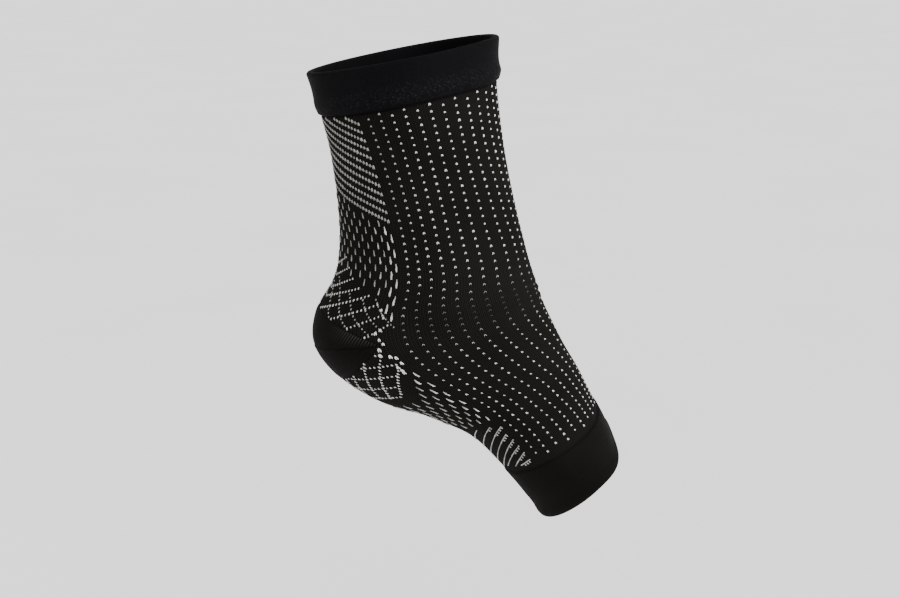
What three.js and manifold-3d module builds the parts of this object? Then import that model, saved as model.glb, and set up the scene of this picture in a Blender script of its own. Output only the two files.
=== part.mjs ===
// Arch support sleeve in its worn form: a toeless knitted tube for a left ankle and foot.
// Millimetres. +X runs to the toes, +Z up the leg, -Y is the inner side of the ankle.
// The origin is the middle of the ankle, inside the hollow.
import * as THREE from "three";
import { mergeVertices } from "three/addons/utils/BufferGeometryUtils.js";
import Module from "manifold-3d";

const wasm = await Module();
wasm.setup();

// Outer sizes of the worn sleeve
const legRise = 115.6; // up to the front of the top rim
const footDrop = 102.2; // down to the sole corner of the forefoot rim
const toeReach = 79; // forward to the instep corner of the forefoot rim
const heelReach = 57.5; // back to the heel
const sleeveWidth = 80; // across the forefoot, the widest place

// Walls: single knit for the body, a folded double layer for the two welts
const knitWall = 1.5;
const cuffWall = 2.7;
const bandWall = 2.1;
const pieceGap = 0.3;

// Heel pocket: the corner where its two gore lines meet, and how steeply they run back from it
const goreCornerBack = 26.4;
const goreCornerDrop = 11.6;
const goreRiseAngle = 19;
const goreFallAngle = 52;

// Facets of the walls
const sidesAround = 48;
const rowsPerStation = 4;
const lipRows = 3;
const samplesPerHalf = 60;

// A row for each section, from the top rim down to the forefoot rim. Each section is a rounded
// outline between a point on the front line and one on the back line of the sleeve.
//   frontX, frontZ, backX, backZ   where the two points lie, as shares of the outer sizes
//   shiftY                         the front point's place across, as a share of the width
//   inner, outer                   half widths toward the inner and outer ankle, as shares of the width
//   widest                         where the widest place lies, from 0 at the back to 1 at the front
//   frontFull, innerFull, outerFull  fullness of the front half and of the two back quarters,
//                                  2 is an ellipse
//   sweep                          how far the inner side runs on toward the toes, share of the width
const stations = [
  ["frontX", "frontZ", "backX", "backZ", "shiftY", "inner", "outer", "widest", "frontFull",
    "innerFull", "outerFull", "sweep"],
  [0.297, 1.0, -0.99, 0.868, 0, 0.45, 0.462, 0.52, 2, 2, 2, 0],
  [0.299, 0.849, -0.908, 0.719, 0, 0.431, 0.444, 0.52, 2, 2, 2, 0],
  [0.323, 0.693, -0.84, 0.572, 0, 0.4, 0.412, 0.54, 2, 2, 2, 0],
  [0.366, 0.518, -0.797, 0.395, 0, 0.381, 0.388, 0.55, 2, 1.9, 1.9, 0],
  [0.418, 0.344, -0.793, 0.223, 0, 0.388, 0.388, 0.54, 2, 1.8, 1.8, 0],
  [0.472, 0.211, -0.838, 0.088, -0.012, 0.425, 0.412, 0.52, 2, 1.85, 1.85, 0],
  [0.518, 0.105, -0.984, -0.05, -0.025, 0.444, 0.431, 0.5, 2, 2.1, 2.1, 0],
  [0.553, 0.032, -1.0, -0.193, -0.038, 0.431, 0.425, 0.49, 2, 2.2, 2.2, 0],
  [0.606, -0.06, -0.828, -0.336, -0.05, 0.412, 0.425, 0.5, 2, 2.1, 2.2, 0],
  [0.677, -0.165, -0.513, -0.451, -0.062, 0.4, 0.438, 0.52, 2, 2, 2.3, -0.01],
  [0.753, -0.272, -0.134, -0.523, -0.062, 0.412, 0.462, 0.53, 2, 1.85, 2.4, -0.02],
  [0.824, -0.376, 0.146, -0.611, -0.062, 0.431, 0.5, 0.54, 2, 1.8, 2.4, -0.03],
  [0.895, -0.484, 0.363, -0.778, -0.05, 0.444, 0.531, 0.57, 2.1, 1.75, 2.4, -0.03],
  [1.0, -0.655, 0.584, -1.0, -0.038, 0.45, 0.544, 0.67, 3.4, 1.67, 2.3, -0.03],
];
const columns = stations.shift();
const cuffEndStation = 1; // the station where the top cuff ends
const bandStartStation = 12; // the station where the forefoot band starts
const rimStation = stations.length - 1;

// A smooth curve through one column of the table, at a place between stations.
function columnAt(name, place) {
  const column = columns.indexOf(name);
  const value = (row) => stations[THREE.MathUtils.clamp(row, 0, rimStation)][column];
  const row = Math.min(Math.floor(place), rimStation - 1);
  const share = place - row;
  const startSlope = row > 0 ? (value(row + 1) - value(row - 1)) / 2 : value(1) - value(0);
  const endSlope =
    row < rimStation - 1 ? (value(row + 2) - value(row)) / 2 : value(row + 1) - value(row);
  const square = share * share;
  const cube = square * share;
  return (
    (2 * cube - 3 * square + 1) * value(row) +
    (cube - 2 * square + share) * startSlope +
    (3 * square - 2 * cube) * value(row + 1) +
    (cube - square) * endSlope
  );
}

const placeX = (share) => share * (share > 0 ? toeReach : heelReach);
const placeZ = (share) => share * (share > 0 ? legRise : footDrop);

// One section's outline as a closed ring of points, from the front round the inner side.
function sectionOutline(place) {
  const at = (name) => columnAt(name, place);
  const shiftY = at("shiftY") * sleeveWidth;
  const front = new THREE.Vector3(placeX(at("frontX")), shiftY, placeZ(at("frontZ")));
  const back = new THREE.Vector3(placeX(at("backX")), 0, placeZ(at("backZ")));
  const middle = back.clone().lerp(front, at("widest"));
  const toFront = front.clone().sub(middle);
  const toBack = back.clone().sub(middle);
  const onward = new THREE.Vector3(toFront.z, 0, -toFront.x).normalize();
  const outline = [];
  for (let step = 0; step < 2 * samplesPerHalf; step++) {
    const angle = (Math.PI * step) / samplesPerHalf;
    const lengthwise = Math.cos(angle);
    const crosswise = Math.sin(angle);
    const inner = crosswise >= 0;
    const backFull = inner ? at("innerFull") : at("outerFull");
    const fullness = lengthwise >= 0 ? at("frontFull") : backFull;
    const spread = Math.abs(crosswise) ** (2 / fullness) * sleeveWidth;
    const point = middle.clone();
    point.addScaledVector(lengthwise >= 0 ? toFront : toBack, Math.abs(lengthwise) ** (2 / fullness));
    point.y += inner ? -spread * at("inner") : spread * at("outer");
    point.addScaledVector(onward, at("sweep") * sleeveWidth * Math.max(0, crosswise) ** 2);
    outline.push(point);
  }
  return outline;
}

// Spreads the points of one half of an outline evenly along its length.
function spreadEvenly(points, count) {
  const reached = [0];
  for (let i = 1; i < points.length; i++) {
    reached.push(reached[i - 1] + points[i].distanceTo(points[i - 1]));
  }
  const spread = [];
  let i = 1;
  for (let step = 0; step < count; step++) {
    const wanted = (reached[points.length - 1] * step) / count;
    while (reached[i] < wanted) i++;
    const share = (wanted - reached[i - 1]) / (reached[i] - reached[i - 1]);
    spread.push(points[i - 1].clone().lerp(points[i], share));
  }
  return spread;
}

function sectionRing(place) {
  const outline = sectionOutline(place);
  const innerHalf = outline.slice(0, samplesPerHalf + 1);
  const outerHalf = [...outline.slice(samplesPerHalf), outline[0]];
  return [
    ...spreadEvenly(innerHalf, sidesAround / 2),
    ...spreadEvenly(outerHalf, sidesAround / 2),
  ];
}

// The ring at a place, with the direction out of the sleeve and the one onward to the toes.
function framedRing(place) {
  const step = 0.05;
  const before = sectionRing(Math.max(0, place - step));
  const after = sectionRing(Math.min(rimStation, place + step));
  const ring = sectionRing(place);
  return ring.map((point, i) => {
    const onward = after[i].clone().sub(before[i]).normalize();
    const next = ring[(i + 1) % sidesAround];
    const previous = ring[(i + sidesAround - 1) % sidesAround];
    const around = next.clone().sub(previous).normalize();
    const outward = new THREE.Vector3().crossVectors(around, onward).normalize();
    return { point, outward, onward };
  });
}

function offsetRing(place, outward, onward = 0) {
  return framedRing(place).map((frame) =>
    frame.point
      .clone()
      .addScaledVector(frame.outward, outward)
      .addScaledVector(frame.onward, onward),
  );
}

// Half-round rings that close a wall over its open rim.
function lipRings(place, outward, inward, side) {
  const middle = (outward + inward) / 2;
  const radius = (outward - inward) / 2;
  const rings = [];
  for (let row = 1; row < lipRows; row++) {
    const angle = (Math.PI * row) / lipRows;
    rings.push(offsetRing(place, middle + radius * Math.cos(angle), side * radius * Math.sin(angle)));
  }
  return rings;
}

// A closed wall between two places along the sleeve.
function wallGeometry({ from, to, outward, inward, lipAtStart = false, lipAtEnd = false }) {
  const rows = Math.round((to - from) * rowsPerStation);
  const places = Array.from({ length: rows + 1 }, (_, row) => from + ((to - from) * row) / rows);
  const rings = places.map((place) => offsetRing(place, outward));
  if (lipAtEnd) rings.push(...lipRings(to, outward, inward, 1));
  rings.push(...places.reverse().map((place) => offsetRing(place, inward)));
  if (lipAtStart) rings.push(...lipRings(from, outward, inward, -1).reverse());
  const positions = rings.flat().flatMap((point) => point.toArray());
  const triangles = [];
  rings.forEach((_, row) => {
    const nextRow = (row + 1) % rings.length;
    for (let side = 0; side < sidesAround; side++) {
      const nextSide = (side + 1) % sidesAround;
      const corner = row * sidesAround + side;
      const beside = row * sidesAround + nextSide;
      const below = nextRow * sidesAround + side;
      const across = nextRow * sidesAround + nextSide;
      triangles.push(corner, beside, across, corner, across, below);
    }
  });
  const geometry = new THREE.BufferGeometry();
  geometry.setAttribute("position", new THREE.Float32BufferAttribute(positions, 3));
  geometry.setIndex(triangles);
  return geometry;
}

// The wedge between the two gore lines, right across the sleeve and open toward the heel.
function goreWedge(grow) {
  const rise = THREE.MathUtils.degToRad(goreRiseAngle);
  const fall = THREE.MathUtils.degToRad(goreFallAngle);
  const halfAngle = (rise + fall) / 2;
  const bisector = (rise - fall) / 2;
  const shift = grow / Math.sin(halfAngle);
  const cornerX = -goreCornerBack + shift * Math.cos(bisector);
  const cornerZ = -goreCornerDrop - shift * Math.sin(bisector);
  const reach = heelReach * 2;
  const shape = new THREE.Shape([
    new THREE.Vector2(cornerX, cornerZ),
    new THREE.Vector2(cornerX - reach * Math.cos(rise), cornerZ + reach * Math.sin(rise)),
    new THREE.Vector2(cornerX - reach * Math.cos(fall), cornerZ - reach * Math.sin(fall)),
  ]);
  const depth = sleeveWidth * 2;
  const geometry = new THREE.ExtrudeGeometry(shape, { depth, bevelEnabled: false });
  geometry.translate(0, 0, -depth / 2);
  geometry.rotateX(Math.PI / 2);
  return geometry;
}

function toSolid(geometry) {
  const bare = new THREE.BufferGeometry();
  bare.setAttribute("position", geometry.getAttribute("position"));
  bare.setIndex(geometry.index);
  const merged = mergeVertices(bare, 1e-4);
  return new wasm.Manifold(
    new wasm.Mesh({
      numProp: 3,
      vertProperties: merged.getAttribute("position").array,
      triVerts: Uint32Array.from(merged.index.array),
    }),
  );
}

function toGeometry(solid) {
  const mesh = solid.getMesh();
  const geometry = new THREE.BufferGeometry();
  geometry.setAttribute("position", new THREE.BufferAttribute(Float32Array.from(mesh.vertProperties), 3));
  geometry.setIndex(Array.from(mesh.triVerts));
  geometry.computeVertexNormals();
  return geometry;
}

function piece(name, solid, color, roughness) {
  const material = new THREE.MeshStandardMaterial({ color, roughness, metalness: 0 });
  const mesh = new THREE.Mesh(toGeometry(solid), material);
  mesh.name = name;
  return mesh;
}

// A gap measured along the sleeve, as a share of the step from one station to the next.
function gapShare(place) {
  const here = sectionRing(place)[0];
  return pieceGap / here.distanceTo(sectionRing(place - 1)[0]);
}

const topCuff = toSolid(
  wallGeometry({
    from: 0,
    to: cuffEndStation,
    outward: cuffWall - knitWall,
    inward: -knitWall,
    lipAtStart: true,
  }),
);

const wholeBody = toSolid(
  wallGeometry({
    from: cuffEndStation + gapShare(cuffEndStation),
    to: bandStartStation - gapShare(bandStartStation),
    outward: 0,
    inward: -knitWall,
  }),
);

const forefootBand = toSolid(
  wallGeometry({
    from: bandStartStation,
    to: rimStation,
    outward: bandWall - knitWall,
    inward: -knitWall,
    lipAtEnd: true,
  }),
);

const heelPocket = wholeBody.intersect(toSolid(goreWedge(0)));
const knitSleeve = wholeBody.subtract(toSolid(goreWedge(pieceGap)));

const sleeve = new THREE.Group();
sleeve.name = "arch_support_sleeve";
sleeve.add(piece("top_cuff", topCuff, 0x141518, 0.62));
sleeve.add(piece("knit_sleeve", knitSleeve, 0x17171a, 0.85));
sleeve.add(piece("heel_pocket", heelPocket, 0x161618, 0.8));
sleeve.add(piece("forefoot_band", forefootBand, 0x141518, 0.7));

export default sleeve;
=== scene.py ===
"""Arch support sleeve, a toeless knitted tube in its worn form. Metres, in the frame of the CAD.

+X runs to the toes, +Z up the leg, -Y is the inner side of the ankle. The ground knit, the two
welts and the heel pocket are closed walls of their own. Each off-white stitch of the pattern is
real yarn, laid on the ground by wale and course.

A place counts stations along the sleeve, from 0 at the top rim to 13 at the forefoot rim. A share
is how far round a point lies, from the front line by the inner side. Wales and courses are the
columns and rows of the knit.
"""

import math

import bpy
import numpy as np
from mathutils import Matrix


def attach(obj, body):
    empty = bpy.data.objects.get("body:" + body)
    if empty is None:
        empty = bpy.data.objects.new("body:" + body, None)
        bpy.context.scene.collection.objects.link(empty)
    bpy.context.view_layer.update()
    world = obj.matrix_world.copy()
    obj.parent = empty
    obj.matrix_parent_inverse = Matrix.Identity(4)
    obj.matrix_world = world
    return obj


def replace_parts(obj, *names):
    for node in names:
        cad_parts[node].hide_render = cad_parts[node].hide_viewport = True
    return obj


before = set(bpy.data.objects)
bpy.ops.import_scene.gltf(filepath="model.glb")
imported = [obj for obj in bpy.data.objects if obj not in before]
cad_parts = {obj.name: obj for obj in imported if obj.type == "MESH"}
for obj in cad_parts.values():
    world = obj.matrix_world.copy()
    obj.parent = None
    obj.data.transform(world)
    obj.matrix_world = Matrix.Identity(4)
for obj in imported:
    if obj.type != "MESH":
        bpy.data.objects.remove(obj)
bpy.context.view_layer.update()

# Outer sizes of the worn sleeve, as in the CAD
LEG_RISE = 0.1156
FOOT_DROP = 0.1022
TOE_REACH = 0.079
HEEL_REACH = 0.0575
SLEEVE_WIDTH = 0.080

# Walls, and how far the welts and the stitches stand proud of the ground knit
KNIT_WALL = 0.0015
CUFF_PROUD = 0.0012
CUFF_FLARE = 0.0001
BAND_PROUD = 0.0006
RIB_DEPTH = 0.00014
YARN_RISE = 0.00085

# Worn cloth: the folds at the bend of the ankle, in metres and places, and two waves all over
FOLD_DEPTH = 0.00042
FOLD_START = 6.1
FOLD_PITCH = 0.42
FOLD_MIDDLE = 6.75
FOLD_REACH = 0.55
WAVE = 0.00010
RIPPLE = 0.00008

# The cuff's roll above its lower edge, more of it at the front, and its waist; the band's roll
CUFF_BULGE = 0.00045
CUFF_FRONT_BULGE = 0.0004
CUFF_WAIST = 0.0002
BAND_ROLL = 0.00035
BAND_WAIST = 0.0002
WELT_WAVE = 0.00010
WELT_STEPS = 25
LINING_STEPS = 9
RIM_STEPS = 9

# Heel pocket: the corner of its two gore lines and how steeply they run back from it
GORE_BACK = 0.0264
GORE_DROP = 0.0116
GORE_RISE = math.radians(19)
GORE_FALL = math.radians(52)
# Where they are looked for: first place, last place and how many
GORE_PLACES = (4.5, 10, 700)

# Its fan ribs: how many to a wale, wales that they lean back for each station, their height,
# and the share from the front where they show most
HEEL_RIBS = 1.6
HEEL_RIB_LEAN = 4.4
HEEL_RIB_RISE = 0.00013
HEEL_RIB_SHARE = 0.358
# The suture across it is a groove with a ridge under it, and the pocket swells off its gore lines
SUTURE_DEPTH = 0.00022
SUTURE_RIDGE = 0.00016
HEEL_SWELL = 0.0003
# Its mesh
HEEL_FINENESS = 3
HEEL_ROWS_OF_MESH = 56

# The same table of sections as the CAD, as shares of the outer sizes
COLUMNS = (
    "front_x", "front_z", "back_x", "back_z", "shift_y", "inner", "outer", "widest",
    "front_full", "inner_full", "outer_full", "sweep",
)
STATIONS = np.array([
    [0.297, 1.0, -0.99, 0.868, 0, 0.45, 0.462, 0.52, 2, 2, 2, 0],
    [0.299, 0.849, -0.908, 0.719, 0, 0.431, 0.444, 0.52, 2, 2, 2, 0],
    [0.323, 0.693, -0.84, 0.572, 0, 0.4, 0.412, 0.54, 2, 2, 2, 0],
    [0.366, 0.518, -0.797, 0.395, 0, 0.381, 0.388, 0.55, 2, 1.9, 1.9, 0],
    [0.418, 0.344, -0.793, 0.223, 0, 0.388, 0.388, 0.54, 2, 1.8, 1.8, 0],
    [0.472, 0.211, -0.838, 0.088, -0.012, 0.425, 0.412, 0.52, 2, 1.85, 1.85, 0],
    [0.518, 0.105, -0.984, -0.05, -0.025, 0.444, 0.431, 0.5, 2, 2.1, 2.1, 0],
    [0.553, 0.032, -1.0, -0.193, -0.038, 0.431, 0.425, 0.49, 2, 2.2, 2.2, 0],
    [0.606, -0.06, -0.828, -0.336, -0.05, 0.412, 0.425, 0.5, 2, 2.1, 2.2, 0],
    [0.677, -0.165, -0.513, -0.451, -0.062, 0.4, 0.438, 0.52, 2, 2, 2.3, -0.01],
    [0.753, -0.272, -0.134, -0.523, -0.062, 0.412, 0.462, 0.53, 2, 1.85, 2.4, -0.02],
    [0.824, -0.376, 0.146, -0.611, -0.062, 0.431, 0.5, 0.54, 2, 1.8, 2.4, -0.03],
    [0.895, -0.484, 0.363, -0.778, -0.05, 0.444, 0.531, 0.57, 2.1, 1.75, 2.4, -0.03],
    [1.0, -0.655, 0.584, -1.0, -0.038, 0.45, 0.544, 0.67, 3.4, 1.67, 2.3, -0.03],
])
RIM = len(STATIONS) - 1
CUFF_EDGE = 1
BAND_EDGE = 12

# Knit chart. Wale 0 runs down the front, wales grow round the inner side to the back at 80.
# At PANEL the dotted front ends and the back panel starts.
WALES = 160
PANEL = 56
BACK = 80
COURSES = 208
SPARE_COURSES = 8
COURSE_ROWS = (0, 16, 32, 48, 64, 80, 96, 112, 128, 144, 160, 176, 192, 208)
COURSE_PLACES = (
    1.07, 1.77, 2.43, 3.05, 3.69, 4.44, 5.34, 6.39, 7.43, 8.37, 9.29, 10.18, 11.03, 11.77,
)
# Past the chart's ends, in stations for each course
COURSE_PITCH = 0.045

# The knit is worn a little twisted: a wale's share of the way round, for eight wales, by course
TWIST_WALES = (-56, -28, 0, 14, 28, 42, 56, 80)
TWIST_COURSES = (0, 32, 64, 80, 96, 112, 128, 160, 192, 208)
TWIST = np.array([
    [-0.337, -0.167, 0.006, 0.0956, 0.1854, 0.2677, 0.349, 0.508],
    [-0.345, -0.175, -0.005, 0.0879, 0.1766, 0.2587, 0.339, 0.498],
    [-0.345, -0.19, -0.03, 0.0659, 0.1643, 0.248, 0.3245, 0.487],
    [-0.34, -0.19, -0.0354, 0.0548, 0.1576, 0.2418, 0.3156, 0.481],
    [-0.33, -0.19, -0.04, 0.0518, 0.1509, 0.2329, 0.307, 0.476],
    [-0.315, -0.185, -0.048, 0.0421, 0.1386, 0.2221, 0.3005, 0.472],
    [-0.315, -0.185, -0.056, 0.0346, 0.1311, 0.2157, 0.2975, 0.468],
    [-0.345, -0.21, -0.073, 0.0139, 0.1135, 0.2045, 0.2855, 0.456],
    [-0.375, -0.235, -0.088, 0.003, 0.1098, 0.2073, 0.299, 0.456],
    [-0.385, -0.24, -0.09, 0.0022, 0.1108, 0.2085, 0.302, 0.456],
])

# One leg of a stitch, plump and pulled thin: points and radii, in shares of the stitch's size
LEG_PATH = np.array([
    [0.27, -0.52, -0.14],
    [0.31, -0.24, 0.14],
    [0.24, 0.06, 0.22],
    [0.13, 0.32, 0.14],
    [0.02, 0.50, -0.14],
])
LEG_RADII = (0.07, 0.20, 0.23, 0.19, 0.06)
THIN_PATH = np.array([
    [0.62, -0.52, -0.10],
    [0.50, -0.22, 0.10],
    [0.33, 0.06, 0.16],
    [0.15, 0.30, 0.16],
    [0.00, 0.48, -0.04],
])
THIN_RADII = (0.05, 0.10, 0.12, 0.13, 0.08)
LEG_SIDES = 5

# How uneven the stitches are: lean, size, tone, and place to either side in stitch widths
LEAN_SPREAD = 0.10
SIZE_SPREAD = 0.09
TONE_SPREAD = 0.10
ASIDE_SPREAD = 0.10
POCKET_MARGIN = 0.0003

# Single dots, in metres, their last wale, and the wales and courses from one to the next
DOT_WIDTH = 0.00096
DOT_HEIGHT = 0.00092
DOT_LAST = 52
DOT_STEP = 4

# Twill stripes over the Achilles tendon, in courses and wales
STRIPES = 12
STRIPE_PITCH = 4.9
STRIPE_START = 3.9
STRIPE_WIDTH = 0.70
STRIPE_HEIGHT = 1.95
STRIPE_THINNESS = 0.15
STRIPE_TONE = 0.42
STRIPE_FADE = 0.007

# The height of a dash's stitches in courses
DASH_STITCH = 1.5
# Ankle dashes: their columns, and the wales and courses from one to the next
ANKLE_COLUMNS = 14
ANKLE_WALES = 1.75
ANKLE_PITCH = 7.85
# Width in wales and tone of the columns nearest the edge of the panel, and of the others
DASH_WIDTHS = {0: (0.52, 0.95), 1: (0.62, 0.95), 2: (0.36, 0.50), 3: (0.42, 0.72)}
OTHER_DASHES = (0.34, 0.42)
# Arch dashes: the same, with half their length and the last course
ARCH_DASH_COLUMNS = 13
ARCH_WALES = 2.0
ARCH_PITCH = 7.7
ARCH_HALF = 1.7
ARCH_LAST = 174
ARCH_DASH_WIDTHS = {0: (0.52, 0.95), 1: (0.58, 0.95)}
OTHER_ARCH_DASHES = (0.36, 0.6)

# Stitches of the lattices and hoops: width in wales, height in courses, thinness and tone
HEEL_ROW_STITCH = (0.35, 1.05, 0, 0.75)
HEEL_COLUMN_STITCH = (0.32, 0.9, 0, 0.36)
ARCH_ROW_STITCH = (0.40, 0.95, 0, 0.8)
ARCH_COLUMN_STITCH = (0.42, 1.05, 0, 0.85)
ARCH_CORNER_STITCH = (0.80, 1.8, 0, 1.0)
HOOP_STITCH = (0.42, 0.34, 0, 0.84)
HOOP_EDGE_STITCH = (0.42, 0.54, 0, 0.84)
TOOTH_STITCH = (0.34, 0.95, 0, 0.85)

# Heel lattice rows: first wale, its course, and courses gained for each wale toward the back
HEEL_ROWS = (
    (74.6, 76.5, 0.86), (72.9, 82.0, 0.80), (70.9, 87.5, 0.68), (68.0, 91.9, 0.48),
    (63.9, 95.2, 0.49), (60.2, 99.3, 0.55), (57.9, 104.5, 0.60), (56.3, 110.0, 0.95),
)
# Its columns: the wale at course 96, and the courses between which it shows
HEEL_COLUMNS = (
    (61.7, 97, 112), (65.6, 97, 114), (69.6, 93, 114), (73.5, 88, 112), (77.5, 86, 112),
)
# The bright stitches down to the corner of the pocket: wale, course, width and height
CORNER_STITCHES = (
    (58.6, 102.0, 0.60, 1.5), (57.5, 105.8, 0.60, 1.5), (58.2, 112.2, 0.80, 1.9),
    (59.5, 113.7, 0.80, 1.9), (58.7, 117.4, 0.65, 1.8), (58.0, 119.8, 0.95, 2.0),
    (59.5, 122.6, 0.85, 2.0), (60.0, 125.3, 0.95, 1.7),
)

# Arch lattice rows: course, first and last wale
ARCH_ROWS = (
    (125.0, 61.2, 64), (131.2, 57.9, 70), (137.4, 60.8, 76), (144.0, 64.9, 78), (150.5, 67.8, 78),
)
# Its columns: wale at the first course, wales gained for each course, first and last course
ARCH_COLUMNS = (
    (58.0, 0.53, 133, 150), (60.0, 0.45, 126, 151), (64.0, 0.41, 125, 150),
    (69.5, 0.46, 130, 148), (75.5, 0.47, 136, 146),
)
# The bright stitches along its edge toward the toes: wale and course
ARCH_CORNER = ((57.8, 126.7), (56.6, 127.8), (56.4, 131), (58.2, 133), (58.0, 135), (58.2, 136.6))

# Arch hoops: course at the panel's edge, first wale, and courses gained for each wale
HOOPS = (
    (177.3, 66, 0.84), (181.7, 59.4, 0.85), (186.0, 55.6, 0.86), (190.3, 56.8, 0.86),
    (194.9, 56.2, 0.84), (199.4, 56.2, 0.72), (203.8, 56.2, 0.66), (208.3, 56.2, 0.3),
)
# They flatten by HOOP_BEND for each wale squared, and thin out HOOP_EDGE wales from the panel's
# edge. Those that start past TOOTH_COURSE have teeth over their first wales.
HOOP_STEP = 0.75
HOOP_BEND = 0.005
HOOP_EDGE = 7
TOOTH_WALES = 5
TOOTH_COURSE = 180

# Looks of the four black knits, painted darker in the stitches' valleys as shade
LOOKS = {
    "ground_knit": dict(
        valley_shade=(0.0012, 0.0010, 0.0008), lit=(0.0112, 0.0105, 0.0094),
        depth=0.00034, rough=0.8, sheen=0.0016,
    ),
    "heel_knit": dict(
        valley_shade=(0.0018, 0.0016, 0.0014), lit=(0.0086, 0.0080, 0.0072),
        depth=0.00018, rough=0.75, sheen=0.0016, fine=2.0, ribs=0.9,
    ),
    "cuff_knit": dict(
        valley_shade=(0.0017, 0.0015, 0.0017), lit=(0.0064, 0.0058, 0.0066),
        depth=0.00012, rough=0.6, sheen=0.0006, fine=2.0, highlight_strength=0.13, gloss=0.12,
    ),
    "band_knit": dict(
        valley_shade=(0.0025, 0.0023, 0.0020), lit=(0.0090, 0.0085, 0.0074),
        depth=0.00014, rough=0.65, sheen=0.0006, fine=2.0, gloss=0.06,
    ),
}
# Colours that are mixed into the knit or the yarn: painted highlights and the yarn's dim end
CUFF_HIGHLIGHT_COLOR = (0.075, 0.075, 0.085, 1)
CUFF_HIGHLIGHT_COURSE = 8.5
HEEL_CREST_HIGHLIGHT = (0.055, 0.053, 0.052, 1)
DIM_YARN_COLOR = (0.022, 0.020, 0.018, 1)

# Stage, light and camera
FLOOR_HALF = 60.0
FLOOR_LEVEL = -0.40
SKY_STRENGTH = 1.1
KEY_TOWARD = (0.78, -0.40, 0.58)
KEY_STRENGTH = 4.2
KEY_SOFTNESS = math.radians(35)
GLOW_PLACE = (0.10, -0.75, 0.62)
GLOW_TARGET = (0.0, -0.03, 0.09)
GLOW_SIZE = 0.25
GLOW_POWER = 1.6
CAMERA_DISTANCE = 0.6
CAMERA_DOWN = math.radians(15)
CAMERA_ASIDE = 0.0036
LENS = 53.32
SENSOR = 36

rng = np.random.default_rng(7)


# Curves and the surface


def eased(knots, values, at):
    """A smooth curve through the values at the knots, read at other places."""
    knots = np.asarray(knots, float)
    values = np.asarray(values, float)
    at = np.asarray(at, float)
    row = np.clip(np.searchsorted(knots, at, side="right") - 1, 0, len(knots) - 2)
    step = knots[row + 1] - knots[row]
    share = (at - knots[row]) / step
    slopes = np.gradient(values, knots, axis=0)
    if values.ndim > 1:
        step = step[..., None]
        share = share[..., None]
    start, end = values[row], values[row + 1]
    square, cube = share**2, share**3
    return (
        (2 * cube - 3 * square + 1) * start
        + (cube - 2 * square + share) * step * slopes[row]
        + (3 * square - 2 * cube) * end
        + (cube - square) * step * slopes[row + 1]
    )


def hump(at, middle, width):
    """A soft bump of height 1."""
    return np.exp(-(((at - middle) / width) ** 2))


def unit(vectors):
    return vectors / np.maximum(np.linalg.norm(vectors, axis=-1, keepdims=True), 1e-12)


def lengths(shares, size_over, size_under):
    """Shares made metres: of one outer size where they are over 0, of the other where under."""
    return np.where(shares > 0, size_over, size_under) * shares


def outlines(places, samples):
    """The sleeve's outline at each place along it, from the front round the inner side."""
    row = dict(zip(COLUMNS, eased(range(RIM + 1), STATIONS, places).T[:, :, None]))
    front_x, back_x = (lengths(row[k], TOE_REACH, HEEL_REACH) for k in ("front_x", "back_x"))
    front_z, back_z = (lengths(row[k], LEG_RISE, FOOT_DROP) for k in ("front_z", "back_z"))
    front = np.stack([front_x, row["shift_y"] * SLEEVE_WIDTH, front_z], -1)
    back = np.stack([back_x, 0 * back_x, back_z], -1)
    middle = back + row["widest"][..., None] * (front - back)
    angle = np.linspace(0, 2 * np.pi, 2 * samples + 1)[None, :]
    cos, sin = np.cos(angle), np.sin(angle)
    back_full = np.where(sin >= 0, row["inner_full"], row["outer_full"])
    full = np.where(cos >= 0, row["front_full"], back_full)
    lengthwise = (np.abs(cos) ** (2 / full))[..., None]
    spread = np.abs(sin) ** (2 / full) * SLEEVE_WIDTH
    points = middle + lengthwise * np.where((cos >= 0)[..., None], front - middle, back - middle)
    points[..., 1] += np.where(sin >= 0, -spread * row["inner"], spread * row["outer"])
    onward = unit(np.stack([(front - middle)[..., 2], 0 * back_x, -(front - middle)[..., 0]], -1))
    sweep = row["sweep"] * SLEEVE_WIDTH * np.maximum(0, sin) ** 2
    return points + onward * sweep[..., None]


def spread_evenly(outline, count):
    """Moves the points of a closed outline evenly along each of its two halves."""
    half = len(outline) // 2
    found = []
    for points in (outline[: half + 1], outline[half:]):
        reached = np.r_[0, np.cumsum(np.linalg.norm(np.diff(points, axis=0), axis=1))]
        wanted = np.linspace(0, reached[-1], count // 2 + 1)[:-1]
        found.append(np.stack([np.interp(wanted, reached, points[:, k]) for k in range(3)], -1))
    return np.concatenate(found)


class Tube:
    """The outer surface. share goes once round from the front line, place from rim to rim."""

    AROUND = 480
    PER_STATION = 20
    OUTLINE_SAMPLES = 120

    def __init__(self):
        places = np.linspace(0, RIM, RIM * self.PER_STATION + 1)
        rows = outlines(places, self.OUTLINE_SAMPLES)
        self.points = np.array([spread_evenly(row, self.AROUND) for row in rows])
        around = np.roll(self.points, -1, 1) - np.roll(self.points, 1, 1)
        self.onward = unit(np.gradient(self.points, axis=0))
        self.outward = unit(np.cross(around, self.onward))

    def read(self, grid, share, place):
        """A value of the grid between its points."""
        across = np.mod(share, 1) * self.AROUND
        along = np.clip(place, 0, RIM) * self.PER_STATION
        column = np.floor(across).astype(int) % self.AROUND
        row = np.minimum(np.floor(along).astype(int), len(grid) - 2)
        a = (across - np.floor(across))[..., None]
        b = (along - row)[..., None]
        beside = (column + 1) % self.AROUND
        upper = grid[row, column] * (1 - a) + grid[row, beside] * a
        lower = grid[row + 1, column] * (1 - a) + grid[row + 1, beside] * a
        return upper * (1 - b) + lower * b

    def at(self, share, place, out=0.0, on=0.0):
        """Points at a height above the surface, and moved on toward the toes."""
        share, place, out = np.broadcast_arrays(share, place, out)
        height = out + drape(share, place)
        return (
            self.read(self.points, share, place)
            + height[..., None] * unit(self.read(self.outward, share, place))
            + on * unit(self.read(self.onward, share, place))
        )


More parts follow.
